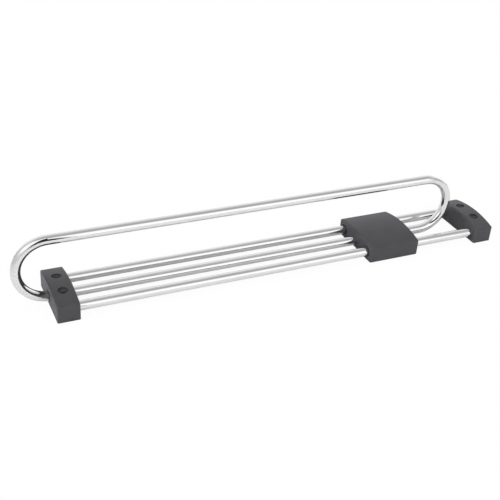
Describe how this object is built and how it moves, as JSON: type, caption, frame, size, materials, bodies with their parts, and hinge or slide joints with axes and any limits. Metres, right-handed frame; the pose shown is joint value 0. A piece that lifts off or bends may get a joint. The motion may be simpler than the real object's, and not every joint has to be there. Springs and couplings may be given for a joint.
{
  "type": "pull-out wardrobe valet rod",
  "caption": "Pull-out wardrobe hanging rail: chromed rod bent to a long loop, on a moulded slider that runs along twin guide rods between two screw-on end blocks.",
  "frame": {"origin": "centre of the four mounting holes, in the plane of the two mounting faces", "axes": "+X along the rods towards the rear (wardrobe back), -X the way the loop pulls out, +Z away from the shelf that the mounting faces seat on"},
  "size_m": [0.4277, 0.056, 0.0615],
  "materials": {
    "chromed_steel": "bright chrome plate on steel",
    "dark_plastic": "fine-grained moulded plastic, anthracite",
    "bush_plastic": "smooth self-lubricating plastic, black",
    "zinc_steel": "zinc-plated steel"
  },
  "bodies": {
    "frame": {"front_end_block": "dark_plastic", "rear_end_block": "dark_plastic", "guide_rod_near": "chromed_steel", "guide_rod_far": "chromed_steel", "loop_guide_bush": "bush_plastic", "rod_pin_front_near": "zinc_steel", "rod_pin_rear_near": "zinc_steel", "rod_pin_front_far": "zinc_steel", "rod_pin_rear_far": "zinc_steel"},
    "slider": {"hanging_loop": "chromed_steel", "slider_housing": "dark_plastic", "loop_clamp": "dark_plastic", "glide_bush_front_near": "bush_plastic", "glide_bush_rear_near": "bush_plastic", "glide_bush_front_far": "bush_plastic", "glide_bush_rear_far": "bush_plastic", "clamp_screw_front_near": "zinc_steel", "clamp_screw_rear_near": "zinc_steel", "clamp_screw_front_far": "zinc_steel", "clamp_screw_rear_far": "zinc_steel"}
  },
  "joints": [
    {"name": "loop_slide", "type": "slide", "parent": "frame", "child": "slider", "axis": [-1, 0, 0], "range_m": [0, 0.254]}
  ]
}
